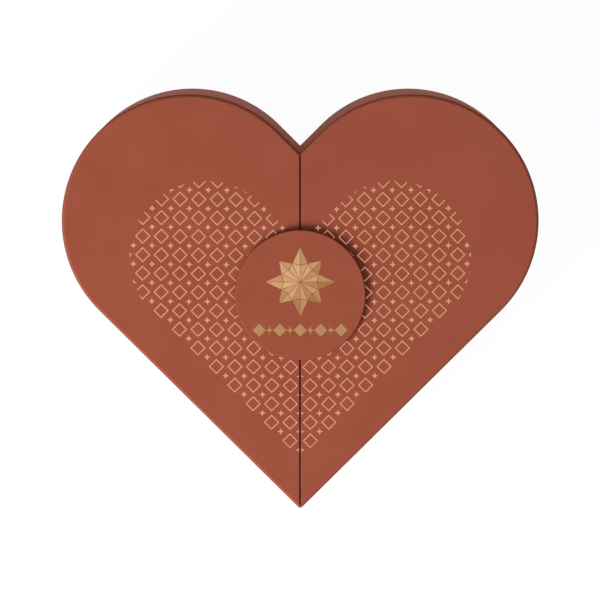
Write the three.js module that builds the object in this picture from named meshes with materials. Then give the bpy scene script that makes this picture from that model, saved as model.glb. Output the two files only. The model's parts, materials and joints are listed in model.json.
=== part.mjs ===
// Heart-shaped rigid paper box. It lies on its back: +Z points out of its front, where two
// half-heart doors meet at a centre seam, and -Y points to the heart's tip. Millimetres.
import * as THREE from 'three';

// Outline of the closed doors: two round lobes over a right-angled point
const lobeRadius = 64;
const lobeOffset = 56; // from the centre seam to the centre of each lobe
const arcSteps = 32; // flats along the half circle of a lobe
const edgeSteps = 3; // flats across a rounded edge

// Layers that the box is built up from
const boardThickness = 2;
const paperThickness = 0.3;
const tapeThickness = 0.2;
const glueLine = 0.3; // clear space between a board and the paper round it

// Tray and doors
const trayDepth = 62.5; // from the table to the rim
const doorClearance = 0.3; // over the rim
const doorOverhang = 0.3; // of the doors past the side walls
const doorEdgeRadius = 1.6;
const seamGap = 0.7;
const turnIn = 12; // paper folded round the edge of a board
const backSheetInset = 1.5; // from the side walls
const doorLinerInset = 2; // from the edge of the door

// Paper hinges, one along each straight lower side
const hingeLeafWidth = 14;
const hingeEndMargin = 5; // at the lobe, and at the tip clear of the other hinge's leaf
const hingeLeafDrop = 1; // of the wall leaf below the top of the wall board

// Stays, the tapes that join the two wall boards round the outside of the notch and the tip
const notchStayLength = 7; // within the straight stretch beside the notch
const tipStayLength = 20;
const stayMargin = 3;

// Disc over the seam, glued to the left door
const discRadius = 33;
const discDrop = 36.7; // of its centre below the line of the lobes' centres
const discEdgeRadius = 0.8;
const discBoardThickness = 2;
const discBackingInset = 1.5;
const padThickness = 0.3;
const padInset = 3;
const padSeamMargin = 3;
const discSteps = 48;

// Magnet in the disc over a keeper magnet in the right door
const magnetRadius = 5;
const magnetThickness = 1.5;
const magnetClearance = 0.3;
const magnetOffset = 18; // from the seam
const magnetSteps = 20;

// Fitting that holds the cosmetics
const fittingGap = 0.6; // to the walls
const fittingHeadroom = 6; // from its top to the rim
const foamBaseThickness = 18;
const facingThickness = 0.6;
const jarRecessRadius = 29;
const jarRecessOutset = 2; // from the lobe's centre, away from the seam
const jarThumbRadius = 9;
const brushRecessWidth = 22;
const brushRecessLength = 104;
const brushRecessDrop = 23; // of its upper end below the fitting's notch
const brushThumbRadius = 7;
const brushThumbDrop = 20; // below the recess's upper end
const lipstickRecessWidth = 20;
const lipstickRecessLength = 70;
const lipstickRecessOffset = 30; // from the seam
const lipstickRecessWeb = 5.5; // of foam between its lower end and the fitting's lower side
const lipstickThumbRadius = 8;
const lipstickThumbDrop = 35; // below the recess's upper end

// Ribbon that lifts the fitting, from a slit near the tip
const ribbonWidth = 12;
const ribbonThickness = 0.4;
const ribbonLoopLength = 20;
const ribbonLoopHeight = 2.4;
const ribbonRest = 0.3; // clear space under the loop
const slitClearance = 0.5;
const slitTipMargin = 15; // over the fitting's tip

// Heights of the outline over the line of the lobes' centres, and of that line over the origin,
// which lies under the middle of the closed doors
const notchRise = Math.SQRT2 * lobeRadius - lobeOffset;
const tipDrop = Math.SQRT2 * lobeRadius + lobeOffset;
const sideLength = Math.SQRT2 * lobeOffset + lobeRadius;
const lobeLine = (tipDrop - seamGap / 2 - lobeRadius) / 2;
const notch = lobeLine + notchRise;
const tip = lobeLine - tipDrop;

// Insets of the tray's layers from the doors' outline, from the outside inwards
const wrapInner = doorOverhang + paperThickness;
const wallOuter = wrapInner + glueLine;
const wallInner = wallOuter + boardThickness;
const linerOuter = wallInner + glueLine;
const linerInner = linerOuter + paperThickness;
const fittingInset = linerInner + fittingGap;
const fittingNotch = notch - Math.SQRT2 * fittingInset;
const fittingTip = tip + Math.SQRT2 * fittingInset;
const slitRise = fittingTip + slitTipMargin;

// Heights of the tray's layers
const baseUnderside = 2 * paperThickness;
const baseTop = baseUnderside + boardThickness;
const floorTop = baseTop + paperThickness;
const foamBaseTop = floorTop + foamBaseThickness;
const fittingTop = trayDepth - fittingHeadroom;
const facingUnderside = fittingTop - facingThickness;
const wallTop = trayDepth - paperThickness - glueLine;

// Heights of the doors' and the disc's layers
const doorUnderside = trayDepth + doorClearance;
const doorFlangeUnderside = doorUnderside + paperThickness;
const doorBoardUnderside = doorFlangeUnderside + paperThickness;
const doorBoardTop = doorBoardUnderside + boardThickness;
const doorTop = doorBoardTop + glueLine + paperThickness;
const discUnderside = doorTop + padThickness;
const discFlangeUnderside = discUnderside + paperThickness;
const discBoardUnderside = discFlangeUnderside + paperThickness;
const discBoardTop = discBoardUnderside + discBoardThickness;
const discTop = discBoardTop + glueLine + paperThickness;

const colours = {
  wrap: 0x9b4f3b,
  liner: 0xe6d3c3,
  greyboard: 0xa39c90,
  foam: 0xf0e9df,
  facing: 0xe3cbb8,
  ribbon: 0xb88a63,
  tape: 0xc9ab86,
  adhesive: 0xd9d6cf,
  magnet: 0xb9bcc0,
};

const box = new THREE.Group();

function addPiece(name, geometry, colour, roughness = 0.8, metalness = 0) {
  const material = new THREE.MeshStandardMaterial({ color: colour, roughness, metalness });
  const mesh = new THREE.Mesh(geometry, material);
  mesh.name = name;
  box.add(mesh);
  return mesh;
}

// Points of the right half of the heart, counterclockwise from the tip, set in from the doors'
// outline and ending at the upright line x = seam
function halfHeart(inset, seam) {
  const points = [new THREE.Vector2(seam, tip + seam + Math.SQRT2 * inset)];
  for (let step = 0; step <= arcSteps; step += 1) {
    const angle = Math.PI * (step / arcSteps - 0.25);
    const radius = lobeRadius - inset;
    const x = lobeOffset + radius * Math.cos(angle);
    points.push(new THREE.Vector2(x, lobeLine + radius * Math.sin(angle)));
  }
  points.push(new THREE.Vector2(seam, notch + seam - Math.SQRT2 * inset));
  return points;
}

function mirrored(points) {
  return points.map((point) => new THREE.Vector2(-point.x, point.y)).reverse();
}

function wholeHeart(inset) {
  const right = halfHeart(inset, 0);
  return [...right, ...mirrored(right).slice(1, -1)];
}

function doorOutline(inset) {
  return halfHeart(inset, seamGap / 2 + inset);
}

function circle(radius, steps, x = 0, y = 0) {
  const points = [];
  for (let step = 0; step < steps; step += 1) {
    const angle = (2 * Math.PI * step) / steps;
    points.push(new THREE.Vector2(x + radius * Math.cos(angle), y + radius * Math.sin(angle)));
  }
  return points;
}

// Flat sheet or board with upright edges
function plate(outline, bottom, top, holes = []) {
  const shape = new THREE.Shape(outline);
  shape.holes = holes.map((hole) => new THREE.Path(hole));
  const geometry = new THREE.ExtrudeGeometry(shape, { depth: top - bottom, bevelEnabled: false });
  return geometry.translate(0, 0, bottom);
}

// Solid whose surface runs through outlines with as many points each. Every [inset, height] of
// the profile gives one outline, and the profile climbs on the outside of the solid. A closed
// profile makes a hollow band. An open one is capped, and clockwise holes go through both caps.
function skinned(outlineAt, profile, closed = false, holes = []) {
  const outlines = profile.map(([inset]) => outlineAt(inset));
  const corners = [];
  const triangles = [];
  outlines.forEach((outline, level) => {
    outline.forEach((point) => corners.push(point.x, point.y, profile[level][1]));
  });
  const count = outlines[0].length;
  const joins = closed ? profile.length : profile.length - 1;
  for (let level = 0; level < joins; level += 1) {
    const lower = level * count;
    const upper = ((level + 1) % profile.length) * count;
    for (let side = 0; side < count; side += 1) {
      const next = (side + 1) % count;
      triangles.push(lower + side, lower + next, upper + next);
      triangles.push(lower + side, upper + next, upper + side);
    }
  }
  if (!closed) {
    addCaps(outlines, profile, holes, corners, triangles);
  }
  const geometry = new THREE.BufferGeometry();
  geometry.setAttribute('position', new THREE.Float32BufferAttribute(corners, 3));
  geometry.setIndex(triangles);
  geometry.computeVertexNormals();
  return geometry;
}

function addCaps(outlines, profile, holes, corners, triangles) {
  const last = profile.length - 1;
  const count = outlines[0].length;
  const firstHoleCorner = corners.length / 3;
  holes.forEach((hole) => {
    [profile[0][1], profile[last][1]].forEach((height) => {
      hole.forEach((point) => corners.push(point.x, point.y, height));
    });
  });
  [0, last].forEach((level) => {
    const indices = outlines[level].map((point, place) => level * count + place);
    let holeCorner = firstHoleCorner;
    holes.forEach((hole) => {
      const start = holeCorner + (level === 0 ? 0 : hole.length);
      hole.forEach((point, place) => indices.push(start + place));
      holeCorner += 2 * hole.length;
    });
    THREE.ShapeUtils.triangulateShape(outlines[level], holes).forEach(([a, b, c]) => {
      const face = [indices[a], indices[b], indices[c]];
      triangles.push(...(level === 0 ? face.reverse() : face));
    });
  });
  let bottom = firstHoleCorner;
  holes.forEach((hole) => {
    const top = bottom + hole.length;
    hole.forEach((point, place) => {
      const next = (place + 1) % hole.length;
      triangles.push(bottom + place, bottom + next, top + next);
      triangles.push(bottom + place, top + next, top + place);
    });
    bottom += 2 * hole.length;
  });
}

// Quarter round from upright to level, about a centre that lies inset from the outline
function quarterRound(centreInset, centreHeight, radius) {
  const profile = [];
  for (let step = 0; step <= edgeSteps; step += 1) {
    const angle = (Math.PI / 2) * (step / edgeSteps);
    const inset = centreInset - radius * Math.cos(angle);
    profile.push([inset, centreHeight + radius * Math.sin(angle)]);
  }
  return profile;
}

// Board whose upper edge is rounded to lie evenly under a wrap with the given edge radius
function roundedBoard(outlineAt, bottom, top, edgeRadius, holes = []) {
  const cover = paperThickness + glueLine;
  const upperEdge = quarterRound(edgeRadius, top + cover - edgeRadius, edgeRadius - cover);
  const profile = [[cover, bottom], ...upperEdge];
  return skinned(outlineAt, profile, false, holes);
}

// Paper over the front and edges of a board, folded in under it
function foldedWrap(outlineAt, flangeUnderside, top, edgeRadius, foldWidth) {
  const centreHeight = top - edgeRadius;
  const flangeTop = flangeUnderside + paperThickness;
  const profile = [
    ...quarterRound(edgeRadius, centreHeight, edgeRadius - paperThickness).reverse(),
    [paperThickness, flangeTop],
    [foldWidth, flangeTop],
    [foldWidth, flangeUnderside],
    [0, flangeUnderside],
    ...quarterRound(edgeRadius, centreHeight, edgeRadius),
  ];
  return skinned(outlineAt, profile);
}

// Straight strip along a lower side, with its section given as [inset, height] points
function alongSide(name, side, section, colour) {
  const shape = new THREE.Shape(section.map(([inset, height]) => new THREE.Vector2(inset, height)));
  const length = sideLength - hingeLeafWidth - 2 * hingeEndMargin;
  const geometry = new THREE.ExtrudeGeometry(shape, { depth: length, bevelEnabled: false });
  const strip = addPiece(name, geometry, colour);
  const inwards = new THREE.Vector3(-side, 1, 0).normalize();
  const upwards = new THREE.Vector3(0, 0, 1);
  const onwards = new THREE.Vector3().crossVectors(inwards, upwards);
  const awayFromTip = new THREE.Vector3(side, 1, 0).normalize();
  const start = side > 0 ? hingeLeafWidth + hingeEndMargin : sideLength - hingeEndMargin;
  strip.quaternion.setFromRotationMatrix(new THREE.Matrix4().makeBasis(inwards, upwards, onwards));
  strip.position.set(0, tip, 0).addScaledVector(awayFromTip, start);
  return strip;
}

// Tray, from the table up
function addTray() {
  const backSheet = plate(wholeHeart(doorOverhang + backSheetInset), 0, paperThickness);
  addPiece('back_sheet', backSheet, colours.wrap);
  addPiece('back_board', plate(wholeHeart(linerOuter), baseUnderside, baseTop), colours.greyboard);
  addPiece('floor_liner', plate(wholeHeart(linerInner + glueLine), baseTop, floorTop), colours.liner);

  const wallOutline = [...halfHeart(wallOuter, 0), ...halfHeart(wallInner, 0).reverse()];
  const rightWall = plate(wallOutline, baseUnderside, wallTop);
  const leftWall = plate(mirrored(wallOutline), baseUnderside, wallTop);
  addPiece('right_wall_board', rightWall, colours.greyboard);
  addPiece('left_wall_board', leftWall, colours.greyboard);

  const sideWrap = [
    [doorOverhang, paperThickness],
    [doorOverhang, trayDepth],
    [linerInner, trayDepth],
    [linerInner, trayDepth - turnIn],
    [linerOuter, trayDepth - turnIn],
    [linerOuter, trayDepth - paperThickness],
    [wrapInner, trayDepth - paperThickness],
    [wrapInner, baseUnderside],
    [doorOverhang + turnIn, baseUnderside],
    [doorOverhang + turnIn, paperThickness],
  ];
  addPiece('side_wrap', skinned(wholeHeart, sideWrap, true), colours.wrap);

  const linerTop = trayDepth - turnIn - glueLine;
  const wallLiner = [
    [linerOuter, baseTop],
    [linerOuter, linerTop],
    [linerInner, linerTop],
    [linerInner, baseTop],
  ];
  addPiece('wall_liner', skinned(wholeHeart, wallLiner, true), colours.liner);
}

// V of tape round the outside of the corner where the two wall boards meet
function stayOutline(outerCorner, innerCorner, length) {
  const reach = length / Math.SQRT2;
  const shape = [
    [reach, outerCorner + reach],
    [0, outerCorner],
    [-reach, outerCorner + reach],
    [-reach, innerCorner + reach],
    [0, innerCorner],
    [reach, innerCorner + reach],
  ];
  return shape.map(([x, y]) => new THREE.Vector2(x, y));
}

function addStays() {
  const outer = wrapInner + (glueLine - tapeThickness) / 2;
  const inner = outer + tapeThickness;
  const bottom = baseUnderside + stayMargin;
  const notchTape = stayOutline(notch - Math.SQRT2 * outer, notch - Math.SQRT2 * inner, notchStayLength);
  const tipTape = stayOutline(tip + Math.SQRT2 * outer, tip + Math.SQRT2 * inner, tipStayLength);
  const tipStayTop = wallTop - hingeLeafDrop - hingeLeafWidth - stayMargin;
  addPiece('notch_stay', plate(notchTape, bottom, wallTop - stayMargin), colours.tape);
  addPiece('tip_stay', plate(tipTape, bottom, tipStayTop), colours.tape);
}

// Recess with round ends, and with thumb cuts in its left or right side
function slotOutline(x, top, width, length, thumbs) {
  const halfWidth = width / 2;
  const path = new THREE.Path();
  const upper = top - halfWidth;
  const lower = top - length + halfWidth;
  const thumbLine = top - thumbs.drop;
  path.moveTo(x - halfWidth, lower);
  path.absarc(x, lower, halfWidth, Math.PI, 2 * Math.PI, false);
  if (thumbs.right) {
    path.lineTo(x + halfWidth, thumbLine - thumbs.radius);
    path.absarc(x + halfWidth, thumbLine, thumbs.radius, -Math.PI / 2, Math.PI / 2, false);
  }
  path.lineTo(x + halfWidth, upper);
  path.absarc(x, upper, halfWidth, 0, Math.PI, false);
  if (thumbs.left) {
    path.lineTo(x - halfWidth, thumbLine + thumbs.radius);
    path.absarc(x - halfWidth, thumbLine, thumbs.radius, Math.PI / 2, (3 * Math.PI) / 2, false);
  }
  path.lineTo(x - halfWidth, lower);
  return cleaned(path.getPoints(5));
}

// Round recess with a thumb cut at its upper edge
function jarOutline(x) {
  const half = Math.acos(1 - jarThumbRadius ** 2 / (2 * jarRecessRadius ** 2));
  const thumbHalf = Math.acos(jarThumbRadius / (2 * jarRecessRadius));
  const upwards = Math.PI / 2;
  const path = new THREE.Path();
  path.absarc(x, lobeLine, jarRecessRadius, upwards + half, upwards + 2 * Math.PI - half, false);
  path.absarc(
    x,
    lobeLine + jarRecessRadius,
    jarThumbRadius,
    upwards - Math.PI + thumbHalf,
    upwards + Math.PI - thumbHalf,
    false,
  );
  return cleaned(path.getPoints(12));
}

// The same outline with points that lie on one another merged
function cleaned(points) {
  const shortest = 0.01;
  return points.filter((point, place) => {
    const next = points[(place + 1) % points.length];
    return point.distanceTo(next) > shortest;
  });
}

function rectangle(x, y, width, height) {
  const corners = [
    [x - width / 2, y - height / 2],
    [x + width / 2, y - height / 2],
    [x + width / 2, y + height / 2],
    [x - width / 2, y + height / 2],
  ];
  return corners.map(([cornerX, cornerY]) => new THREE.Vector2(cornerX, cornerY));
}

// Fitting with recesses, in a base layer, a cut-out layer and a facing sheet
function addFitting() {
  const jar = jarOutline(lobeOffset + jarRecessOutset);
  const brushTop = fittingNotch - brushRecessDrop;
  const brushThumbs = { left: true, right: true, radius: brushThumbRadius, drop: brushThumbDrop };
  const brush = slotOutline(0, brushTop, brushRecessWidth, brushRecessLength, brushThumbs);
  const endRadius = lipstickRecessWidth / 2;
  const sideRise = fittingTip + lipstickRecessOffset;
  const lipstickEnd = sideRise + Math.SQRT2 * (endRadius + lipstickRecessWeb) - endRadius;
  const lipstickThumbs = { right: true, radius: lipstickThumbRadius, drop: lipstickThumbDrop };
  const lipstick = slotOutline(
    lipstickRecessOffset,
    lipstickEnd + lipstickRecessLength,
    lipstickRecessWidth,
    lipstickRecessLength,
    lipstickThumbs,
  );
  const slitWidth = ribbonWidth + 2 * slitClearance;
  const slit = rectangle(0, slitRise, slitWidth, ribbonThickness + 2 * slitClearance);
  const recesses = [jar, mirrored(jar), brush, lipstick, mirrored(lipstick), slit];
  const outline = wholeHeart(fittingInset);
  addPiece('foam_base', plate(outline, floorTop, foamBaseTop), colours.foam, 0.95);
  addPiece('foam_body', plate(outline, foamBaseTop, facingUnderside, recesses), colours.foam, 0.95);
  addPiece('fitting_facing', plate(outline, facingUnderside, fittingTop, recesses), colours.facing, 0.95);
}

// Ribbon that climbs out of the slit and lies back over itself in a flat loop
function addRibbon() {
  const halfThickness = ribbonThickness / 2;
  const loopBottom = fittingTop + ribbonRest;
  const loopRadius = ribbonLoopHeight / 2;
  const path = new THREE.Shape();
  path.moveTo(-halfThickness, foamBaseTop);
  path.lineTo(halfThickness, foamBaseTop);
  path.lineTo(halfThickness, loopBottom);
  path.lineTo(ribbonLoopLength - loopRadius, loopBottom);
  path.absarc(ribbonLoopLength - loopRadius, loopBottom + loopRadius, loopRadius, -Math.PI / 2, Math.PI / 2);
  path.lineTo(-halfThickness, loopBottom + ribbonLoopHeight);
  const settings = { depth: ribbonWidth, bevelEnabled: false, curveSegments: 4 };
  const ribbon = addPiece('lift_ribbon', new THREE.ExtrudeGeometry(path, settings), colours.ribbon, 0.4);
  const along = new THREE.Vector3(0, 1, 0);
  const upwards = new THREE.Vector3(0, 0, 1);
  const across = new THREE.Vector3(1, 0, 0);
  ribbon.quaternion.setFromRotationMatrix(new THREE.Matrix4().makeBasis(along, upwards, across));
  ribbon.position.set(-ribbonWidth / 2, slitRise, 0);
}

// Leaves of one hinge: one on the wall board, one round the edge of the door board
function addHinge(side, word) {
  const outer = wrapInner + (glueLine - tapeThickness) / 2;
  const leafTop = wallTop - hingeLeafDrop;
  const wallSection = [
    [outer, leafTop - hingeLeafWidth],
    [outer + tapeThickness, leafTop - hingeLeafWidth],
    [outer + tapeThickness, leafTop],
    [outer, leafTop],
  ];
  alongSide(`${word}_hinge_wall_leaf`, side, wallSection, colours.tape);

  const outerRadius = doorEdgeRadius - paperThickness - (glueLine - tapeThickness) / 2;
  const innerRadius = outerRadius - tapeThickness;
  const centreHeight = doorTop - doorEdgeRadius;
  const outside = quarterRound(doorEdgeRadius, centreHeight, outerRadius);
  const inside = quarterRound(doorEdgeRadius, centreHeight, innerRadius).reverse();
  const doorSection = [
    [doorEdgeRadius - outerRadius, doorBoardUnderside],
    ...outside,
    [hingeLeafWidth, centreHeight + outerRadius],
    [hingeLeafWidth, centreHeight + innerRadius],
    ...inside,
    [doorEdgeRadius - innerRadius, doorBoardUnderside],
  ];
  alongSide(`${word}_hinge_door_leaf`, side, doorSection, colours.tape);
}

// Door on one side, with a hole in its board where it holds the keeper magnet
function addDoor(side, word, holes = []) {
  const outlineAt = side > 0 ? doorOutline : (inset) => mirrored(doorOutline(inset));
  const liner = plate(outlineAt(doorLinerInset), doorUnderside, doorFlangeUnderside);
  const board = roundedBoard(outlineAt, doorBoardUnderside, doorBoardTop, doorEdgeRadius, holes);
  const wrap = foldedWrap(outlineAt, doorFlangeUnderside, doorTop, doorEdgeRadius, turnIn);
  addPiece(`${word}_door_liner`, liner, colours.liner);
  addPiece(`${word}_door_board`, board, colours.greyboard);
  addPiece(`${word}_door_wrap`, wrap, colours.wrap, 0.6);
}

function magnetHole() {
  const radius = magnetRadius + magnetClearance;
  return circle(radius, magnetSteps, magnetOffset, lobeLine - discDrop).reverse();
}

function addMagnet(name, bottom) {
  const outline = circle(magnetRadius, magnetSteps, magnetOffset, lobeLine - discDrop);
  addPiece(name, plate(outline, bottom, bottom + magnetThickness), colours.magnet, 0.35, 0.9);
}

// Disc over the seam, with its pad on the left door only
function addDisc() {
  const height = lobeLine - discDrop;
  const discOutline = (inset) => circle(discRadius - inset, discSteps, 0, height);
  const backing = plate(discOutline(discBackingInset), discUnderside, discFlangeUnderside);
  const holes = [magnetHole()];
  const board = roundedBoard(discOutline, discBoardUnderside, discBoardTop, discEdgeRadius, holes);
  const wrap = foldedWrap(discOutline, discFlangeUnderside, discTop, discEdgeRadius, turnIn);
  const padRadius = discRadius - padInset;
  const start = Math.acos(-padSeamMargin / padRadius);
  const pad = new THREE.Shape();
  pad.absarc(0, height, padRadius, start, 2 * Math.PI - start, false);
  const padOutline = cleaned(pad.getPoints(16));
  addPiece('disc_pad', plate(padOutline, doorTop, discUnderside), colours.adhesive);
  addPiece('disc_backing', backing, colours.wrap);
  addPiece('disc_board', board, colours.greyboard);
  addPiece('disc_wrap', wrap, colours.wrap, 0.6);
  addMagnet('disc_magnet', discBoardUnderside);
}

addTray();
addStays();
addFitting();
addRibbon();
addHinge(-1, 'left');
addHinge(1, 'right');
addDoor(-1, 'left');
addDoor(1, 'right', [magnetHole()]);
addMagnet('keeper_magnet', doorBoardUnderside);
addDisc();

export default box;
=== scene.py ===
"""Heart-shaped rigid box covered in soft-touch paper, with a gold foil lattice on its doors.

The box lies on its back, seen from the front. Sizes are written in millimetres, and meshes,
lamps and the camera are made in metres.
"""

import json
import math

import bmesh
import bpy
from mathutils import Matrix, Vector


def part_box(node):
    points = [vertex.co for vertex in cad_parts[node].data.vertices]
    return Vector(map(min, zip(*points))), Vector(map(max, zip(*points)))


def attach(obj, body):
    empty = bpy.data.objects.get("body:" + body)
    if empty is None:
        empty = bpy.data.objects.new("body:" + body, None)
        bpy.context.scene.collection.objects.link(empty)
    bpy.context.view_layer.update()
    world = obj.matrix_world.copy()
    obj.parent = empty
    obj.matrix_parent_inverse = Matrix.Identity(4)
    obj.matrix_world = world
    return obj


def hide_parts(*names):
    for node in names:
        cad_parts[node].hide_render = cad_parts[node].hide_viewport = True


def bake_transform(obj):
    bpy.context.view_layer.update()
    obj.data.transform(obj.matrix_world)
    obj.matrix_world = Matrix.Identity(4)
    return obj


MM = 0.001
ROOT2 = math.sqrt(2)

# Outline of the closed doors
LOBE_RADIUS = 64
LOBE_OFFSET = 56
ARC_STEPS = 120
CORNER_RADIUS = 0.3
CORNER_STEPS = 6
LEAST_CORNER = 0.02
SHARP_TURN = 30

# Edges of the covers. The seam is the gap that shows between the doors' covers.
SEAM_GAP = 0.36
DOOR_EDGE_WIDTH = 1.6
SEAM_ROUNDING = 0.45
EDGE_STEPS = 10
FOLD_RADIUS = 0.3
# Share of a cover's edge width, inwards from its outline, that gets a painted shade line along its fold
PAINTED_SHADE_SHARE = 0.4
WEAR_REACH = 0.7
FLAT_MARGIN = 0.2
RIM_RADIUS = 1.0
RIM_STEPS = 6
RIM_THICKNESS = 0.7

# Layers
PAPER = 0.3
GLUE_LINE = 0.3
BOARD = 2
DOOR_OVERHANG = 0.3
TURN_IN = 12
DOOR_LINER_INSET = 2
DOOR_LINER_EDGE = 0.08
WRAP_INNER = DOOR_OVERHANG + PAPER
LINER_OUTER = WRAP_INNER + GLUE_LINE + BOARD + GLUE_LINE
LINER_INNER = LINER_OUTER + PAPER
FITTING_INSET = LINER_INNER + 0.6

# Disc
DISC_RADIUS = 33
DISC_DROP = 36.7
DISC_EDGE_RADIUS = 0.8
DISC_STEPS = 160

# Foil lattice, clipped to a smaller heart
FOIL = 0.02
FOIL_SINK = 0.01
COLUMN_PITCH = 9.36
ROW_PITCH = 9.4
LATTICE_TOP = 52.03
LATTICE_ROWS = 15
LATTICE_COLUMNS = 11
LATTICE_TURN = 0.5
LATTICE_PIVOT = -3.5
LATTICE_SHIFT = -0.06
DIAMOND_REACH = 3.88
DIAMOND_LINE = 0.52
STAR_REACH = 1.7
STAR_WAIST = 0.68
PATTERN_RADIUS = 38.7
PATTERN_OFFSET = 47.3
PATTERN_DROP = 18.1
PATTERN_STEPS = 60
PATTERN_SEAM_MARGIN = 0.5
LEAST_AREA = 0.01

# Emblem on the disc: an eight-point star in facets over a row of diamonds and small stars. The star's flat
# facets carry painted light and shade.
EMBLEM_RISE = 6.7
EMBLEM_LONG_POINT = 17.6
EMBLEM_SHORT_POINT = 15.2
EMBLEM_RIDGE = 8.4
EMBLEM_HOLLOW = 10.2
FACET_INSET = 0.14
ROW_DROP = 17.7
ROW_STEP = 10.3
ROW_DIAMOND = 3.3
ROW_STAR_REACH = 2.2
ROW_STAR_WAIST = 0.7
ROW_TONE = 0.3
# Painted light and shade on the star's flat facets: lighter towards LIT_FROM, on one side of each point,
# and on the inner facets
LIT_FROM = (-0.8, 0.6)
MIDDLE_TONE = 0.5
LIT_TONE = 0.28
PAINTED_LEAN_SHADE = 0.16
PAINTED_INNER_LIGHT = 0.16
PAINTED_OUTER_SHADE = -0.1

# Paper hinges. Depths lie below the rim, and insets inside the doors' outline.
HINGE_PAPER = 0.12
HINGE_BEND = 0.7
HINGE_DEPTHS = (9, 5, 1)
HINGE_RIM_INSETS = (2.4, 1.4, 0.7)
HINGE_FOLD_INSET = 0.45
HINGE_DOOR_INSETS = (0.6, 1.2, 1.9)
HINGE_FROM_TIP = 19
HINGE_SHORT_OF_LOBE = 5
HINGE_STEPS = 24

# Recesses of the fitting
JAR_RADIUS = 29
JAR_THUMB = 9
JAR_SHIFT = 2
BRUSH_WIDTH = 22
BRUSH_LENGTH = 104
BRUSH_DROP = 23
BRUSH_THUMB = 7
BRUSH_THUMB_DROP = 20
LIPSTICK_WIDTH = 20
LIPSTICK_LENGTH = 70
LIPSTICK_OFFSET = 30
LIPSTICK_WALL = 5.5
LIPSTICK_THUMB = 8
LIPSTICK_THUMB_DROP = 35
SLIT_RISE = 15
SLIT_WIDTH = 13
SLIT_HEIGHT = 1.4
SLOT_STEPS = 28
SLOT_THUMB_STEPS = 24
JAR_STEPS = 96
JAR_THUMB_STEPS = 36
FLOCK_EDGE = 0.35
FOAM_EDGE = 0.02

# Ribbon: heights in the slit, then points of [way from the slit, height over its resting level]
RIBBON_WIDTH = 12
RIBBON_THICKNESS = 0.3
RIBBON_SELVAGE = 0.5
RIBBON_HALF_GAP = 0.25
RIBBON_REST = 0.25
RIBBON_HEIGHTS = (0, 9, 18, 27, 34)
RIBBON_LOOP = (
    (0.35, -0.6), (0.75, -0.1), (1.6, 0.02), (4, 0.02), (8, 0.05), (13, 0.05), (17, 0.02), (18.4, 0.1),
    (19.3, 0.5), (19.6, 1.1), (19.3, 1.7), (18.4, 2.1), (15, 2.25), (10, 2.1), (6, 1.9), (2.6, 1.6),
    (0.8, 1.1), (0, 0.4), (-0.25, -0.85),
)

# Camera, on the front plane's height
CAMERA_TILT = 6.38
CAMERA_DISTANCE = 1760
CAMERA_LENS = 209.57
AIM = (-0.1, 1.58)

# Light
ROOM_LIGHT = 0.48
FLOOR_SIZE = 8
FLOOR_GREY = 0.82
FLOOR_GLOW = 0.38
FLOOR_WHITE = 0.94

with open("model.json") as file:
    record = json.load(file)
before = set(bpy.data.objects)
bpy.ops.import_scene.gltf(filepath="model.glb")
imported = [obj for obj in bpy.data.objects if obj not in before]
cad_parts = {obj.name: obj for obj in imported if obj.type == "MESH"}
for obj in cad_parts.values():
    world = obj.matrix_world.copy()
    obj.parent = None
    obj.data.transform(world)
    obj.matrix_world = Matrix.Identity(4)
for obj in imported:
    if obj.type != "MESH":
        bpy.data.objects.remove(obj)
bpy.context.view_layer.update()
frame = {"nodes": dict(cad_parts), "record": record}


def extent(node):
    low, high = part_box(node)
    return low / MM, high / MM


DOOR_TOP = extent("right_door_wrap")[1].z
DOOR_FLANGE = extent("right_door_wrap")[0].z
DOOR_UNDERSIDE = extent("right_door_liner")[0].z
RIM = extent("side_wrap")[1].z
SIDE_BOTTOM = extent("side_wrap")[0].z
DISC_TOP = extent("disc_wrap")[1].z
DISC_FLANGE = extent("disc_wrap")[0].z
FITTING_TOP = extent("fitting_facing")[1].z
FACING_UNDERSIDE = extent("fitting_facing")[0].z
FOAM_BASE_TOP = extent("foam_base")[1].z
LOBE_LINE = extent("right_door_wrap")[1].y - LOBE_RADIUS
NOTCH = LOBE_LINE + ROOT2 * LOBE_RADIUS - LOBE_OFFSET
TIP = LOBE_LINE - ROOT2 * LOBE_RADIUS - LOBE_OFFSET
DISC_LINE = LOBE_LINE - DISC_DROP
STRAIGHT_SIDE = ROOT2 * LOBE_OFFSET + LOBE_RADIUS
FITTING_NOTCH = NOTCH - ROOT2 * FITTING_INSET
FITTING_TIP = TIP + ROOT2 * FITTING_INSET
SLIT_LINE = FITTING_TIP + SLIT_RISE


# Outlines, as lists of 2-D points in millimetres, counterclockwise


def arc(x, y, radius, first, last, steps):
    """Points on an arc between two angles in degrees."""
    points = []
    for step in range(steps + 1):
        angle = math.radians(first + (last - first) * step / steps)
        points.append(Vector((x + radius * math.cos(angle), y + radius * math.sin(angle))))
    return points


def lobed(offset, line, radius, seam, steps):
    """The right half of a heart, from its tip round its lobe to its notch."""
    rise = ROOT2 * radius
    tip = Vector((seam, line - rise - offset + seam))
    notch = Vector((seam, line + rise - offset + seam))
    return [tip, *arc(offset, line, radius, -45, 135, steps), notch]


def half_heart(inset, seam):
    return lobed(LOBE_OFFSET, LOBE_LINE, LOBE_RADIUS - inset, seam, ARC_STEPS)


def mirrored(points):
    return [Vector((-point.x, point.y)) for point in reversed(points)]


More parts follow.
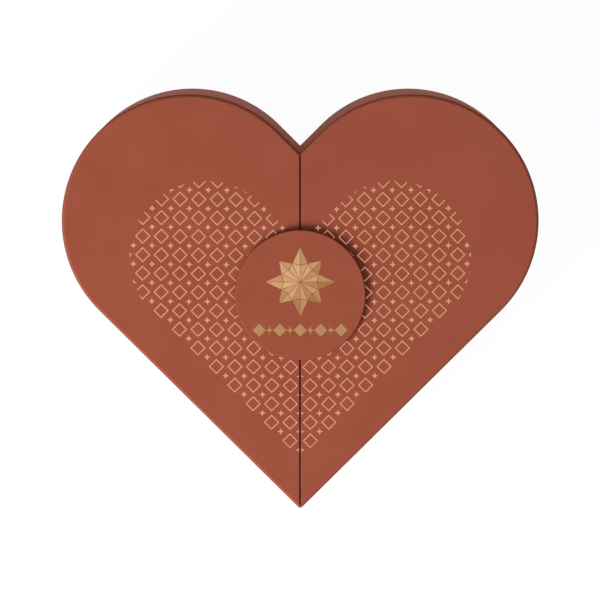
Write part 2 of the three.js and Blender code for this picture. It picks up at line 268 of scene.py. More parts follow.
def rounded(points, radius):
    """The outline with its sharp corners turned into arcs."""
    result = []
    for place, corner in enumerate(points):
        arriving = (corner - points[place - 1]).normalized()
        leaving = (points[(place + 1) % len(points)] - corner).normalized()
        turn = math.atan2(arriving.cross(leaving), arriving.dot(leaving))
        if abs(turn) < math.radians(SHARP_TURN):
            result.append(corner)
            continue
        side = math.copysign(1, turn)
        start = corner - arriving * radius * math.tan(abs(turn) / 2)
        towards_centre = Vector((-arriving.y, arriving.x)) * side
        centre = start + towards_centre * radius
        for step in range(CORNER_STEPS + 1):
            spoke = Matrix.Rotation(turn * step / CORNER_STEPS, 2) @ (start - centre)
            result.append(centre + spoke)
    return result


def door_outline(side, inset, seam_inset=None):
    """Outline of a door. Its inset from the seam can be another one than all round."""
    outline = half_heart(inset, SEAM_GAP / 2 + (inset if seam_inset is None else seam_inset))
    outline = rounded(outline, max(CORNER_RADIUS - inset, LEAST_CORNER))
    return outline if side > 0 else mirrored(outline)


def cover_outline(side, inset):
    """Outline of a door's cover, whose rounding is tighter along the seam."""
    lost = DOOR_EDGE_WIDTH - SEAM_ROUNDING
    return door_outline(side, inset, max(inset * SEAM_ROUNDING / DOOR_EDGE_WIDTH, inset - lost))


def tray_outline(inset):
    right = half_heart(inset, 0)
    outline = right + mirrored(right)[1:-1]
    return rounded(outline, max(CORNER_RADIUS + DOOR_OVERHANG - inset, LEAST_CORNER))


def disc_outline(inset):
    return arc(0, DISC_LINE, DISC_RADIUS - inset, 0, 360, DISC_STEPS)[:-1]


def arc_profile(centre_inset, centre_height, radius, first, last, steps=EDGE_STEPS, rise=None):
    """Points of [inset, height] on an arc. 0 degrees points outwards and 90 upwards.

    The arc is an ellipse's where it has a rise, its half axis upwards, of its own.
    """
    profile = []
    for step in range(steps + 1):
        angle = math.radians(first + (last - first) * step / steps)
        inset = centre_inset - radius * math.cos(angle)
        profile.append((inset, centre_height + (rise or radius) * math.sin(angle)))
    return profile


# Meshes


def make_object(name, edit, material, sharp=32):
    """Object from an edited mesh, smooth but for edges sharper than the angle in degrees."""
    mesh = bpy.data.meshes.new(name)
    edit.to_mesh(mesh)
    edit.free()
    for polygon in mesh.polygons:
        polygon.use_smooth = True
    mesh.set_sharp_from_angle(angle=math.radians(sharp))
    mesh.materials.append(material)
    piece = bpy.data.objects.new(name, mesh)
    bpy.context.scene.collection.objects.link(piece)
    return piece


def new_ring(edit, outline, height):
    return [edit.verts.new((p.x * MM, p.y * MM, height * MM)) for p in outline]


def new_wall(edit, lower, upper):
    """Faces between two rings, which look outwards if the rings run counterclockwise."""
    for place, corner in enumerate(lower):
        after = (place + 1) % len(lower)
        edit.faces.new((corner, lower[after], upper[after], upper[place]))


def skin(name, outline_at, profile, material, closed=False, wear=None, painted_shade=None):
    """Mesh through one outline for each [inset, height] of the profile, bottom first outside."""
    edit = bmesh.new()
    worn = edit.verts.layers.float.new("wear")
    # Painted shade: a dark shadow line painted into the colour, 1 where it is full
    painted_shading = edit.verts.layers.float.new("painted_shade")
    rings = []
    for place, (inset, height) in enumerate(profile):
        ring = new_ring(edit, outline_at(inset), height)
        for corner in ring:
            corner[worn] = wear[place] if wear else 0
            corner[painted_shading] = painted_shade[place] if painted_shade else 0
        rings.append(ring)
    if not closed:
        edit.faces.new(rings[-1])
        edit.faces.new(reversed(rings[0]))
    for lower, upper in zip(rings, rings[1:]):
        new_wall(edit, lower, upper)
    if closed:
        new_wall(edit, rings[-1], rings[0])
    return make_object(name, edit, material)


def wear_of(profile, centres, edge_width):
    """How worn each point of a profile is: 1 at the middle of a rounded edge and 0 at its ends."""
    levels = []
    for point in profile:
        nearest = min(math.dist(point, centre) for centre in centres)
        levels.append(max(0, 1 - nearest / (WEAR_REACH * edge_width)))
    return levels


def folded_wrap(name, outline_at, flange, top, edge_width, edge_height, material):
    """Paper over the front and rounded edges of a board, folded in under it."""
    centre = (edge_width, top - edge_height)
    flange_top = flange + PAPER
    inner = arc_profile(*centre, edge_width - PAPER, 90, 0, rise=edge_height - PAPER)
    fold = arc_profile(FOLD_RADIUS, flange + FOLD_RADIUS, FOLD_RADIUS, -90, 0, 4)
    outer = arc_profile(*centre, edge_width, 0, 90, rise=edge_height)
    profile = [
        *inner,
        (PAPER, flange_top),
        (TURN_IN, flange_top),
        (TURN_IN, flange),
        (FOLD_RADIUS + FLAT_MARGIN / 2, flange),
        *fold,
        *outer,
        (edge_width + FLAT_MARGIN, top),
    ]
    middle = outer[EDGE_STEPS // 2]
    wear = wear_of(profile, [middle], edge_width)
    # Painted shade: dark over the outermost part of the rounded edge and the fold, where a shadow line
    # falls, fading inwards
    reach = PAINTED_SHADE_SHARE * edge_width
    painted_shade = [max(0, min(1, 2 - 2 * inset / reach)) for inset, height in profile]
    return skin(name, outline_at, profile, material, wear=wear, painted_shade=painted_shade)


def plate(name, outline_at, bottom, top, edge, material):
    """Flat sheet with lightly rounded edges."""
    profile = [
        *arc_profile(edge, bottom + edge, edge, -90, 0, 3),
        *arc_profile(edge, top - edge, edge, 0, 90, 3),
        (2.5 * edge, top),
    ]
    return skin(name, outline_at, [(2.5 * edge, bottom), *profile], material)


def prisms(name, outlines, bottom, top, material, tones=None):
    """Thin flat shapes with upright edges, in one mesh."""
    edit = bmesh.new()
    # Each shape's tone; on the emblem's star it holds painted light and shade
    toned = edit.verts.layers.float.new("tone")
    for place, outline in enumerate(outlines):
        low = new_ring(edit, outline, bottom)
        high = new_ring(edit, outline, top)
        for corner in low + high:
            corner[toned] = tones[place] if tones else MIDDLE_TONE
        edit.faces.new(high)
        edit.faces.new(reversed(low))
        new_wall(edit, low, high)
    return make_object(name, edit, material)


def pierced(name, outline, holes, bottom, top, edge, material):
    """Flat block with holes through it and a softened upper edge."""
    edit = bmesh.new()
    rims = {bottom: [], top: []}
    bevel = [(0, bottom), (0, top - edge), (0.3 * edge, top - 0.3 * edge), (edge, top)]
    for loop, inwards in [(outline, 1), *((hole, -1) for hole in holes)]:
        rings = [new_ring(edit, offset(loop, inwards * shift), height) for shift, height in bevel]
        for lower, upper in zip(rings, rings[1:]):
            if inwards > 0:
                new_wall(edit, lower, upper)
            else:
                new_wall(edit, upper, lower)
        rims[bottom].append(rings[0])
        rims[top].append(rings[-1])
    for height, loops in rims.items():
        edges = []
        for loop in loops:
            for place, corner in enumerate(loop):
                edges.append(edit.edges.get((corner, loop[(place + 1) % len(loop)])))
        filled = bmesh.ops.triangle_fill(edit, edges=edges, use_beauty=True)
        for face in filled["geom"]:
            if isinstance(face, bmesh.types.BMFace):
                face.normal_update()
                if (face.normal.z > 0) != (height == top):
                    face.normal_flip()
    return make_object(name, edit, material)


def strip(name, path, rows_at, material, sharp, thickness):
    """Bent sheet whose middle follows a path of 2-D points.

    Each function in rows_at places one row of the sheet's points, from 2-D to 3-D.
    """
    sections = []
    for place, point in enumerate(path):
        before = Vector(path[max(place - 1, 0)])
        after = Vector(path[min(place + 1, len(path) - 1)])
        along = (after - before).normalized()
        normal = Vector((-along.y, along.x))
        sections.append([Vector(point) + normal * thickness * share for share in (-0.5, 0.5)])
    edit = bmesh.new()
    grid = [[[edit.verts.new(at(point) * MM) for point in pair] for pair in sections] for at in rows_at]
    last = len(path) - 1
    for near, far in zip(grid, grid[1:]):
        for place in range(last):
            after = place + 1
            edit.faces.new((near[place][0], near[after][0], far[after][0], far[place][0]))
            edit.faces.new((far[place][1], far[after][1], near[after][1], near[place][1]))
        for place in (0, last):
            edit.faces.new((near[place][0], far[place][0], far[place][1], near[place][1]))
    for row in (grid[0], grid[-1]):
        for place in range(last):
            after = place + 1
            edit.faces.new((row[place][0], row[after][0], row[after][1], row[place][1]))
    bmesh.ops.recalc_face_normals(edit, faces=edit.faces)
    return make_object(name, edit, material, sharp)


def offset(loop, distance):
    """A counterclockwise loop moved inwards by the distance."""
    if not distance:
        return loop
    moved = []
    for place, corner in enumerate(loop):
        arriving = (corner - loop[place - 1]).normalized()
        leaving = (loop[(place + 1) % len(loop)] - corner).normalized()
        normal = Vector((-arriving.y - leaving.y, arriving.x + leaving.x)).normalized()
        stretch = 1 / max(0.4, normal.dot(Vector((-leaving.y, leaving.x))))
        moved.append(corner + normal * distance * stretch)
    return moved


# Materials


def add(tree, kind, settings=None, **inputs):
    """New shader node. Inputs are values or sockets, with _ for a space in their names."""
    made = tree.nodes.new("ShaderNode" + kind)
    for key, value in (settings or {}).items():
        setattr(made, key, value)
    for key, value in inputs.items():
        socket = made.inputs[int(key[1:])] if key[0] == "i" and key[1:].isdigit() else None
        socket = socket or made.inputs[key.replace("_", " ")]
        if isinstance(value, bpy.types.NodeSocket):
            tree.links.new(value, socket)
        else:
            socket.default_value = value
    return made


def linear(red, green, blue):
    """Linear colour of an sRGB colour given from 0 to 255."""
    shares = [channel / 255 for channel in (red, green, blue)]
    return (*[s / 12.92 if s < 0.04045 else ((s + 0.055) / 1.055) ** 2.4 for s in shares], 1)


def new_material(name):
    material = bpy.data.materials.new(name)
    material.use_nodes = True
    tree = material.node_tree
    tree.nodes.clear()
    shader = add(tree, "BsdfPrincipled")
    output = add(tree, "OutputMaterial")
    tree.links.new(shader.outputs["BSDF"], output.inputs["Surface"])
    return material, tree, shader


def place(tree, scale=(1, 1, 1)):
    coordinates = add(tree, "TexCoord").outputs["Object"]
    return add(tree, "Mapping", Vector=coordinates, Scale=scale).outputs["Vector"]


def noise(tree, where, size, detail=3, roughness=0.5):
    """Noise between 0 and 1 with features of about that many millimetres."""
    scale = 1 / (size * MM)
    made = add(tree, "TexNoise", Vector=where, Scale=scale, Detail=detail, Roughness=roughness)
    return made.outputs["Fac"]


def ranged(tree, value, low, high, to_low=0.0, to_high=1.0):
    made = add(tree, "MapRange", Value=value, From_Min=low, From_Max=high, To_Min=to_low, To_Max=to_high)
    return made.outputs["Result"]


def blended(tree, share, first, second):
    made = add(tree, "Mix", {"data_type": "RGBA"}, i0=share, i6=first, i7=second)
    return made.outputs[2]


def multiplied(tree, first, second):
    return add(tree, "Math", {"operation": "MULTIPLY"}, i0=first, i1=second).outputs[0]


def bumped(tree, height, strength, depth):
    made = add(tree, "Bump", Height=height, Strength=strength, Distance=depth * MM)
    return made.outputs["Normal"]


def paper_material(name, colour, dark, worn, painted_shading, rough, sheen, grain=0.35):
    """Matt paper with a fine grain, cloudy colour, lighter worn edges, and a painted shade line darker
    along folded edges.
    """
    material, tree, shader = new_material(name)
    where = place(tree)
    clouds = ranged(tree, noise(tree, where, 24, 4), 0.3, 0.7)
    body = blended(tree, clouds, linear(*dark), linear(*colour))
    wear = add(tree, "Attribute", {"attribute_name": "wear"}).outputs["Fac"]
    patches = ranged(tree, noise(tree, where, 2.2, 5, 0.65), 0.42, 0.72)
    body = blended(tree, multiplied(tree, wear, multiplied(tree, patches, 0.5)), body, linear(*worn))
    # Painted shade: the colour darkens towards the painted shade colour along the folded edges
    painted_shade = add(tree, "Attribute", {"attribute_name": "painted_shade"}).outputs["Fac"]
    body = blended(tree, painted_shade, body, linear(*painted_shading))
    fibres = noise(tree, place(tree, (1, 0.25, 1)), grain * 3, 4, 0.6)
    fine = noise(tree, where, grain, 2)
    surface = add(tree, "Math", {"operation": "ADD"}, i0=fibres, i1=fine).outputs[0]
    shader.inputs["Base Color"].default_value = linear(*colour)
    tree.links.new(body, shader.inputs["Base Color"])
    tree.links.new(ranged(tree, fibres, 0.3, 0.7, rough - 0.05, rough + 0.05), shader.inputs["Roughness"])
    tree.links.new(bumped(tree, surface, 0.12, 0.03), shader.inputs["Normal"])
    shader.inputs["Sheen Weight"].default_value = sheen
    shader.inputs["Sheen Roughness"].default_value = 0.4
    shader.inputs["Specular IOR Level"].default_value = 0.1
    return material


def foil_material(name, colour, dark, rough):
    """Hot-stamped metal foil, a little uneven where the paper's grain shows through."""
    material, tree, shader = new_material(name)
    where = place(tree)
    # The tone sets each shape between the dark and light foil colours; on the emblem's star it is painted
    # light and shade
    tone = add(tree, "Attribute", {"attribute_name": "tone"}).outputs["Fac"]
    body = blended(tree, tone, linear(*dark), linear(*colour))
    uneven = ranged(tree, noise(tree, where, 0.8, 3), 0.3, 0.75, 0.0, 0.25)
    body = blended(tree, uneven, body, linear(*dark))
    tree.links.new(body, shader.inputs["Base Color"])
    dull = ranged(tree, noise(tree, where, 1.5, 3), 0.3, 0.7, rough - 0.06, rough + 0.06)
    tree.links.new(dull, shader.inputs["Roughness"])
    tree.links.new(bumped(tree, noise(tree, where, 0.3, 2), 0.08, 0.02), shader.inputs["Normal"])
    shader.inputs["Metallic"].default_value = 1
    return material


def board_material(name, colour, dark, size):
    """Raw board or tape, with flecks and fibres."""
    material, tree, shader = new_material(name)
    where = place(tree)
    flecks = ranged(tree, noise(tree, where, size, 6, 0.7), 0.35, 0.65)
    tree.links.new(blended(tree, flecks, linear(*dark), linear(*colour)), shader.inputs["Base Color"])
    tree.links.new(bumped(tree, noise(tree, where, size / 2, 4), 0.3, 0.05), shader.inputs["Normal"])
    shader.inputs["Roughness"].default_value = 0.9
    return material


def foam_material(name, colour, dark):
    """Closed-cell foam, cut smooth."""
    material, tree, shader = new_material(name)
    where = place(tree)
    cells = add(tree, "TexVoronoi", Vector=where, Scale=1 / (0.45 * MM)).outputs["Distance"]
    tree.links.new(blended(tree, cells, linear(*dark), linear(*colour)), shader.inputs["Base Color"])
    tree.links.new(bumped(tree, cells, 0.35, 0.08), shader.inputs["Normal"])
    shader.inputs["Roughness"].default_value = 0.85
    return material


def flock_material(name, colour, dark):
    """Short flock with a soft sheen and slightly brushed patches."""
    material, tree, shader = new_material(name)
    where = place(tree)
    brushed = ranged(tree, noise(tree, where, 9, 4, 0.6), 0.3, 0.7)
    pile = noise(tree, where, 0.18, 2)
    tree.links.new(blended(tree, brushed, linear(*dark), linear(*colour)), shader.inputs["Base Color"])
    tree.links.new(bumped(tree, pile, 0.5, 0.1), shader.inputs["Normal"])
    shader.inputs["Roughness"].default_value = 0.95
    shader.inputs["Sheen Weight"].default_value = 0.5
    shader.inputs["Sheen Roughness"].default_value = 0.5
    return material


def ribbon_material(name, colour, dark):
    """Satin ribbon, with fine threads along it."""
    material, tree, shader = new_material(name)
    where = place(tree)
    across = {"bands_direction": "X"}
    threads = add(tree, "TexWave", across, Vector=where, Scale=900, Distortion=0.6, Detail=2)
    lines = threads.outputs["Fac"]
    tree.links.new(blended(tree, lines, linear(*dark), linear(*colour)), shader.inputs["Base Color"])
    tree.links.new(bumped(tree, lines, 0.3, 0.03), shader.inputs["Normal"])
    shader.inputs["Roughness"].default_value = 0.38
    shader.inputs["Sheen Weight"].default_value = 0.3
    return material


def metal_material(name, colour):
    """Nickel plating with a faint grain."""
    material, tree, shader = new_material(name)
    grain = noise(tree, place(tree, (1, 8, 1)), 0.6, 3)
    tree.links.new(ranged(tree, grain, 0.3, 0.7, 0.2, 0.35), shader.inputs["Roughness"])
    darker = [0.9 * channel for channel in colour]
    body = blended(tree, grain, linear(*darker), linear(*colour))
    tree.links.new(body, shader.inputs["Base Color"])
    shader.inputs["Metallic"].default_value = 1
    return material


# The fourth colour of each paper is the painted shade colour of a shadow line along folded edges
wrap_paper = paper_material(
    "wrap_paper", (162, 84, 63), (157, 79, 58), (170, 97, 77), (118, 45, 31), 0.75, 0.01
)
liner_paper = paper_material(
    "liner_paper", (230, 211, 196), (227, 207, 192), (236, 222, 210), (214, 192, 175), 0.7, 0.05
)
gold_foil = foil_material("gold_foil", (226, 166, 136), (198, 136, 107), 0.4)
emblem_foil = foil_material("emblem_foil", (216, 172, 126), (164, 116, 74), 0.36)
greyboard = board_material("greyboard", (170, 163, 151), (146, 138, 126), 0.9)
paper_tape = board_material("paper_tape", (201, 171, 134), (184, 151, 113), 1.6)
foam = foam_material("foam", (242, 236, 226), (226, 217, 204))
flock = flock_material("flocked_facing", (227, 203, 184), (221, 196, 176))
satin = ribbon_material("ribbon", (190, 143, 104), (166, 119, 83))
tape = board_material("adhesive", (217, 214, 207), (203, 199, 190), 0.5)
nickel = metal_material("magnet", (198, 200, 203))

SLOT_MATERIALS = {
    "wrap_paper": wrap_paper,
    "liner_paper": liner_paper,
    "greyboard": greyboard,
    "paper_tape": paper_tape,
    "foam": foam,
    "flocked_facing": flock,
    "ribbon": satin,
    "adhesive": tape,
    "magnet": nickel,
}


def finish_nodes():
    """Gives every CAD node the material of its slot."""
    for part in frame["record"]["subparts"]:
        node = frame["nodes"][part["node"]]
        node.data.materials.clear()
        node.data.materials.append(SLOT_MATERIALS[part["material_slot"]])


def settle(piece, body, slot, *nodes):
    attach(piece, body)
    if nodes:
        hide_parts(*nodes)
    return piece


# Covers


def add_doors():
    for side, word in ((-1, "left"), (1, "right")):
        def outline_at(inset, side=side):
            return cover_outline(side, inset)

        edge_height = DOOR_TOP - DOOR_FLANGE - FOLD_RADIUS
        cover = folded_wrap(
            f"{word}_door_cover", outline_at, DOOR_FLANGE, DOOR_TOP,
            DOOR_EDGE_WIDTH, edge_height, wrap_paper,
        )
        settle(cover, f"{word}_door", "wrap_paper", f"{word}_door_wrap")

        def liner_at(inset, side=side):
            return door_outline(side, DOOR_LINER_INSET + inset)

        lining = plate(
            f"{word}_door_lining", liner_at, DOOR_UNDERSIDE, DOOR_FLANGE, DOOR_LINER_EDGE, liner_paper
        )
        settle(lining, f"{word}_door", "liner_paper", f"{word}_door_liner")


def add_tray_cover():
    outer, inner = DOOR_OVERHANG, LINER_INNER
    bend = RIM_RADIUS
    bottom_fold = arc_profile(outer + bend, SIDE_BOTTOM + bend, bend, -90, 0, RIM_STEPS)
    rim_outer = arc_profile(outer + bend, RIM - bend, bend, 0, 90, RIM_STEPS)
    rim_inner = arc_profile(inner - bend, RIM - bend, bend, 90, 180, RIM_STEPS)
    rim_underside = RIM - RIM_THICKNESS
    profile = [
        (outer + TURN_IN, SIDE_BOTTOM),
        (outer + bend + FLAT_MARGIN, SIDE_BOTTOM),
        *bottom_fold,
        *rim_outer,
        *rim_inner,
        (inner, RIM - TURN_IN),
        (inner - PAPER, RIM - TURN_IN),
        (inner - PAPER, rim_underside),
        (WRAP_INNER, rim_underside),
        (WRAP_INNER, SIDE_BOTTOM + PAPER),
        (outer + TURN_IN, SIDE_BOTTOM + PAPER),
    ]
    middle = RIM_STEPS // 2
    wear = wear_of(profile, [bottom_fold[middle], rim_outer[middle], rim_inner[middle]], bend)
    cover = skin("tray_cover", tray_outline, profile, wrap_paper, closed=True, wear=wear)
    settle(cover, "tray", "wrap_paper", "side_wrap")


def add_disc():
    edge = DISC_EDGE_RADIUS
    cover = folded_wrap("disc_cover", disc_outline, DISC_FLANGE, DISC_TOP, edge, edge, wrap_paper)
    settle(cover, "left_door", "wrap_paper", "disc_wrap")


# Foil


def clipped(polygon, region):
    """The part of a convex polygon that lies in a convex counterclockwise region."""
    for start, end in zip(region, region[1:] + region[:1]):
        along = end - start
        sides = [along.cross(point - start) for point in polygon]
        kept = []
        for place, point in enumerate(polygon):
            before = place - 1
            if (sides[place] > 0) != (sides[before] > 0):
                share = sides[before] / (sides[before] - sides[place])
                kept.append(polygon[before].lerp(point, share))
            if sides[place] > 0:
                kept.append(point)
        polygon = kept
        if not polygon:
            break
    return polygon


def area(polygon):
    return 0.5 * sum(polygon[place - 1].cross(point) for place, point in enumerate(polygon))


def pattern_region():
    seam = SEAM_GAP / 2 + PATTERN_SEAM_MARGIN
    return lobed(PATTERN_OFFSET, LOBE_LINE - PATTERN_DROP, PATTERN_RADIUS, seam, PATTERN_STEPS)


def diamond_bars(centre, reach, line):
    """The four bars of an outlined diamond, mitred at its corners."""
    outer = [centre + Vector((reach * x, reach * y)) for x, y in ((1, 0), (0, 1), (-1, 0), (0, -1))]
    inner = [centre.lerp(corner, 1 - ROOT2 * line / reach) for corner in outer]
    bars = []
    for place in range(4):
        after = (place + 1) % 4
        bars.append([outer[place], outer[after], inner[after], inner[place]])
    return bars


def star_kites(centre, reach, waist):
    """A four-point star as four kites that meet in its middle."""
    kites = []
    for turn in range(4):
        angle = turn * math.pi / 2
        tip = centre + reach * Vector((math.cos(angle), math.sin(angle)))
        sides = []
        for lean in (-math.pi / 4, math.pi / 4):
            sides.append(centre + waist * Vector((math.cos(angle + lean), math.sin(angle + lean))))
        kites.append([centre, sides[0], tip, sides[1]])
    return kites


def lattice():
    region = pattern_region()
    shapes = []
    for row in range(-2, LATTICE_ROWS):
        for column in range(LATTICE_COLUMNS):
            y = LATTICE_TOP - ROW_PITCH * row
            diamond = Vector((COLUMN_PITCH * (column + 0.5), y))
            shapes += diamond_bars(diamond, DIAMOND_REACH, DIAMOND_LINE)
            star = Vector((COLUMN_PITCH * column, y - ROW_PITCH / 2))
            shapes += star_kites(star, STAR_REACH, STAR_WAIST)
    pivot = Vector((0, LATTICE_PIVOT))
    turn = Matrix.Rotation(math.radians(LATTICE_TURN), 2)
    shift = Vector((LATTICE_SHIFT, LATTICE_PIVOT))
    turned = [[turn @ (point - pivot) + shift for point in shape] for shape in shapes]
    kept = [clipped(shape, region) for shape in turned]
    return [shape for shape in kept if len(shape) > 2 and area(shape) > LEAST_AREA]


def add_lattice():
    shapes = lattice()
    for word, outlines in (("right", shapes), ("left", [mirrored(shape) for shape in shapes])):
        foil = prisms(f"{word}_door_foil", outlines, DOOR_TOP - FOIL_SINK, DOOR_TOP + FOIL, gold_foil)
        settle(foil, f"{word}_door", "gold_foil")


def emblem_star():
    """Facets of an eight-point star and the tone of each, which is painted light and shade."""
    centre = Vector((0, DISC_LINE + EMBLEM_RISE))

    def spoke(eighths, reach):
        angle = math.pi / 2 + eighths * math.pi / 4
        return centre + reach * Vector((math.cos(angle), math.sin(angle)))

    facets, tones = [], []
    for turn in range(8):
        tip = spoke(turn, EMBLEM_LONG_POINT if turn % 2 == 0 else EMBLEM_SHORT_POINT)
        ridge = spoke(turn, EMBLEM_RIDGE)
        for lean in (-1, 1):
            side = spoke(turn + lean / 2, EMBLEM_HOLLOW)
            for facet, ring_painted_shading in (([centre, ridge, side], PAINTED_INNER_LIGHT), ([ridge, tip, side], PAINTED_OUTER_SHADE)):
                facet = facet if area(facet) > 0 else facet[::-1]
                facets.append(offset(facet, FACET_INSET))
                middle = sum(facet, Vector((0, 0))) / 3 - centre
                # Painted light and shade: each flat facet toned as if the star were raised and lit from
                # LIT_FROM
                lit = middle.normalized().dot(Vector(LIT_FROM))
                tone = MIDDLE_TONE + LIT_TONE * lit + PAINTED_LEAN_SHADE * lean + ring_painted_shading
                tones.append(min(1, max(0, tone)))
    return facets, tones


def emblem_row():
    """A row of diamonds with small stars between them."""
    line = DISC_LINE - ROW_DROP
    corners = [Vector((x * ROW_DIAMOND, y * ROW_DIAMOND)) for x, y in ((1, 0), (0, 1), (-1, 0), (0, -1))]
    shapes = []
    for place in range(-2, 3):
        shapes.append([Vector((ROW_STEP * place, line)) + corner for corner in corners])
    for place in (-1.5, -0.5, 0.5, 1.5):
        shapes += star_kites(Vector((ROW_STEP * place, line)), ROW_STAR_REACH, ROW_STAR_WAIST)
    return shapes


def add_emblem():
    facets, tones = emblem_star()
    row = emblem_row()
    facets += row
    tones += [ROW_TONE] * len(row)
    emblem = prisms("disc_emblem", facets, DISC_TOP - FOIL_SINK, DISC_TOP + FOIL, emblem_foil, tones)
    settle(emblem, "left_door", "gold_foil")


# Paper hinges


def add_hinges():
    """Paper over the rim and on under each door."""
    rim_layer = RIM + HINGE_PAPER
    door_layer = DOOR_FLANGE - HINGE_PAPER
    inner = LINER_INNER + HINGE_PAPER
    fold = (door_layer - rim_layer) / 2
    path = [(inner, RIM - depth) for depth in HINGE_DEPTHS]
    path += arc_profile(inner - HINGE_BEND, rim_layer - HINGE_BEND, HINGE_BEND, 170, 100, 4)
    path += [(inset, rim_layer) for inset in HINGE_RIM_INSETS]
    path += arc_profile(HINGE_FOLD_INSET, rim_layer + fold, fold, -90, -270, 10)[1:-1]
    path += [(inset, door_layer) for inset in HINGE_DOOR_INSETS]
    tip = Vector((0, TIP))
    for side, word in ((-1, "left"), (1, "right")):
        away = Vector((side, 1)).normalized()
        inwards = Vector((-side, 1)).normalized()
        start = tip + away * HINGE_FROM_TIP
        end = tip + away * (STRAIGHT_SIDE - HINGE_SHORT_OF_LOBE)

        def row_at(step, start=start, end=end, inwards=inwards):
            foot = start.lerp(end, step / HINGE_STEPS)
            return lambda point: Vector((*(foot + inwards * point.x), point.y))

        rows_at = [row_at(step) for step in range(HINGE_STEPS + 1)]
        folded = strip(f"{word}_hinge_fold", path, rows_at, wrap_paper, 50, HINGE_PAPER)
        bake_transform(folded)


# Fitting


def slot_outline(x, top, width, length, thumb_drop, thumb_radius, thumbs):
    """Long recess with round ends and a round thumb notch on one side or both."""
    half = width / 2
    thumb_line = top - thumb_drop
    outline = arc(x, top - length + half, half, 180, 360, SLOT_STEPS)
    if "right" in thumbs:
        outline += arc(x + half, thumb_line, thumb_radius, -90, 90, SLOT_THUMB_STEPS)
    outline += arc(x, top - half, half, 0, 180, SLOT_STEPS)
    if "left" in thumbs:
        outline += arc(x - half, thumb_line, thumb_radius, 90, 270, SLOT_THUMB_STEPS)
    return outline


def jar_outline(x):
    """Round recess with a thumb notch at its top."""
    half = math.degrees(math.acos(1 - JAR_THUMB**2 / (2 * JAR_RADIUS**2)))
    thumb_half = math.degrees(math.acos(JAR_THUMB / (2 * JAR_RADIUS)))
    outline = arc(x, LOBE_LINE, JAR_RADIUS, 90 + half, 450 - half, JAR_STEPS)
    thumb_line = LOBE_LINE + JAR_RADIUS
    thumb = arc(x, thumb_line, JAR_THUMB, thumb_half - 90, 270 - thumb_half, JAR_THUMB_STEPS)
    return outline + thumb[1:-1]


def lipstick_outline():
    half = LIPSTICK_WIDTH / 2
    end = FITTING_TIP + LIPSTICK_OFFSET + ROOT2 * (half + LIPSTICK_WALL) - half
    return slot_outline(
        LIPSTICK_OFFSET, end + LIPSTICK_LENGTH, LIPSTICK_WIDTH, LIPSTICK_LENGTH,
        LIPSTICK_THUMB_DROP, LIPSTICK_THUMB, ("right",),
    )


def slit_outline():
    half, rise = SLIT_WIDTH / 2, SLIT_HEIGHT / 2
    corners = ((-half, -rise), (half, -rise), (half, rise), (-half, rise))
    return [Vector((x, SLIT_LINE + y)) for x, y in corners]


def add_fitting():
    jar = jar_outline(LOBE_OFFSET + JAR_SHIFT)
    brush = slot_outline(
        0, FITTING_NOTCH - BRUSH_DROP, BRUSH_WIDTH, BRUSH_LENGTH,
        BRUSH_THUMB_DROP, BRUSH_THUMB, ("left", "right"),
    )
    lipstick = lipstick_outline()
    holes = [jar, mirrored(jar), brush, lipstick, mirrored(lipstick), slit_outline()]
    outline = tray_outline(FITTING_INSET)
    facing = pierced(
        "fitting_flock", outline, holes, FACING_UNDERSIDE, FITTING_TOP, FLOCK_EDGE, flock
    )
    settle(facing, "tray", "flocked_facing", "fitting_facing")
    block = pierced(
        "fitting_foam", outline, holes, FOAM_BASE_TOP, FACING_UNDERSIDE, FOAM_EDGE, foam
    )
    settle(block, "tray", "foam", "foam_body")


def add_ribbon():
    """Ribbon that comes up out of the slit, lies back over itself and goes down again."""
    foot = FOAM_BASE_TOP + RIBBON_THICKNESS
    rest = FITTING_TOP + RIBBON_REST
    path = [(RIBBON_HALF_GAP, foot + height) for height in RIBBON_HEIGHTS]
    path += [(way, rest + height) for way, height in RIBBON_LOOP]
    path += [(-RIBBON_HALF_GAP, foot + height) for height in reversed(RIBBON_HEIGHTS)]
    half = RIBBON_WIDTH / 2
    inner = half - RIBBON_SELVAGE

    def column_at(x):
        return lambda point: Vector((x, SLIT_LINE + point.x, point.y))

    columns_at = [column_at(x) for x in (-half, -inner, -half / 2, 0, half / 2, inner, half)]
    ribbon = strip("ribbon_loop", path, columns_at, satin, 60, RIBBON_THICKNESS)
    smooth = ribbon.modifiers.new("smooth", "SUBSURF")
    smooth.levels = 2
    smooth.render_levels = 2
    settle(ribbon, "tray", "ribbon", "lift_ribbon")


# Stage


def seen(tree):
    """1 for what the camera sees, directly or in gloss and glass, and 0 for all other light."""
    path = add(tree, "LightPath").outputs
    larger = {"operation": "MAXIMUM"}
    direct = add(tree, "Math", larger, i0=path["Is Camera Ray"], i1=path["Is Glossy Ray"]).outputs[0]
    return add(tree, "Math", larger, i0=direct, i1=path["Is Transmission Ray"]).outputs[0]


def add_floor():
    bpy.ops.mesh.primitive_plane_add(size=FLOOR_SIZE, location=(0, 0, 0))
    floor = bpy.context.object
    floor.name = "floor"
    material = bpy.data.materials.new("floor")
    material.use_nodes = True
    tree = material.node_tree
    tree.nodes.clear()
    matt = add(tree, "BsdfDiffuse", Color=(FLOOR_GREY, FLOOR_GREY, FLOOR_GREY, 1)).outputs[0]
    glow = add(tree, "Emission", Color=(1, 1, 1, 1), Strength=FLOOR_GLOW).outputs[0]
    lit = add(tree, "AddShader", i0=matt, i1=glow).outputs[0]
    white = add(tree, "Emission", Color=(1, 1, 1, 1), Strength=1.0).outputs[0]
    share = multiplied(tree, seen(tree), FLOOR_WHITE)
    mixed = add(tree, "MixShader", i0=share, i1=lit, i2=white).outputs[0]
    output = add(tree, "OutputMaterial")
    tree.links.new(mixed, output.inputs["Surface"])
    floor.data.materials.append(material)


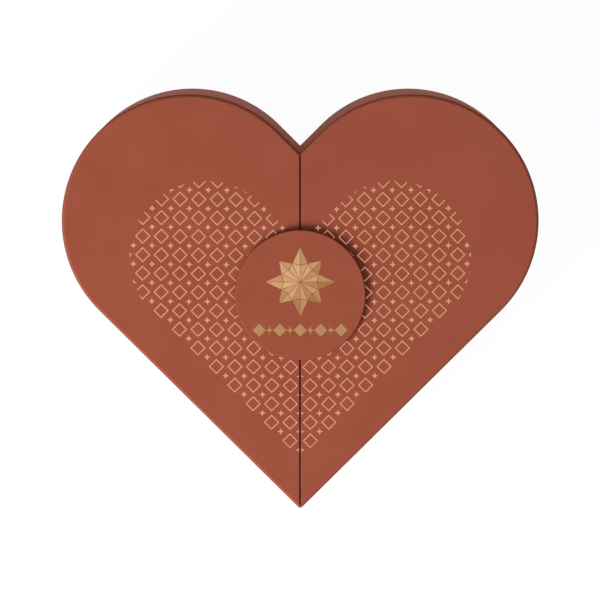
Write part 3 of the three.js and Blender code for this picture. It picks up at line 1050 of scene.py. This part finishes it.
def add_world():
    world = bpy.data.worlds.new("studio")
    bpy.context.scene.world = world
    world.use_nodes = True
    tree = world.node_tree
    tree.nodes.clear()
    around = add(tree, "TexCoord").outputs["Generated"]
    height = add(tree, "SeparateXYZ", Vector=around).outputs["Z"]
    level = ranged(tree, height, 0.0, 1.0, 0.0, ROOM_LIGHT)
    room = add(tree, "Background", Color=(1, 0.985, 0.97, 1), Strength=level).outputs[0]
    white = add(tree, "Background", Color=(1, 1, 1, 1), Strength=1.0).outputs[0]
    mixed = add(tree, "MixShader", i0=seen(tree), i1=room, i2=white).outputs[0]
    output = add(tree, "OutputWorld")
    tree.links.new(mixed, output.inputs["Surface"])


def add_lamp(name, azimuth, elevation, distance, size, power):
    """Square lamp that faces the box. Azimuth 0 lies towards +X, and 90 towards +Y."""
    turn, rise = math.radians(azimuth), math.radians(elevation)
    out = Vector((math.cos(turn) * math.cos(rise), math.sin(turn) * math.cos(rise), math.sin(rise)))
    lamp = bpy.data.objects.new(name, bpy.data.lights.new(name, "AREA"))
    lamp.data.size = size
    lamp.data.energy = power
    lamp.location = out * distance
    lamp.rotation_mode = "QUATERNION"
    lamp.rotation_quaternion = (-out).to_track_quat("-Z", "Y")
    bpy.context.scene.collection.objects.link(lamp)


def add_camera():
    tilt = math.radians(CAMERA_TILT)
    back = Vector((0, math.sin(tilt), math.cos(tilt)))
    camera = bpy.data.objects.new("camera", bpy.data.cameras.new("camera"))
    camera.data.lens = CAMERA_LENS
    camera.data.clip_end = 20
    camera.location = (Vector((AIM[0], AIM[1], DOOR_TOP)) + back * CAMERA_DISTANCE) * MM
    camera.rotation_euler = (-tilt, 0, 0)
    bpy.context.scene.collection.objects.link(camera)
    bpy.context.scene.camera = camera


add_camera()
finish_nodes()
add_doors()
add_tray_cover()
add_disc()
add_lattice()
add_emblem()
add_hinges()
add_fitting()
add_ribbon()
add_floor()
add_world()
add_lamp("key", azimuth=220, elevation=36, distance=2.2, size=1.24, power=56)
bpy.context.scene.view_settings.view_transform = "Standard"
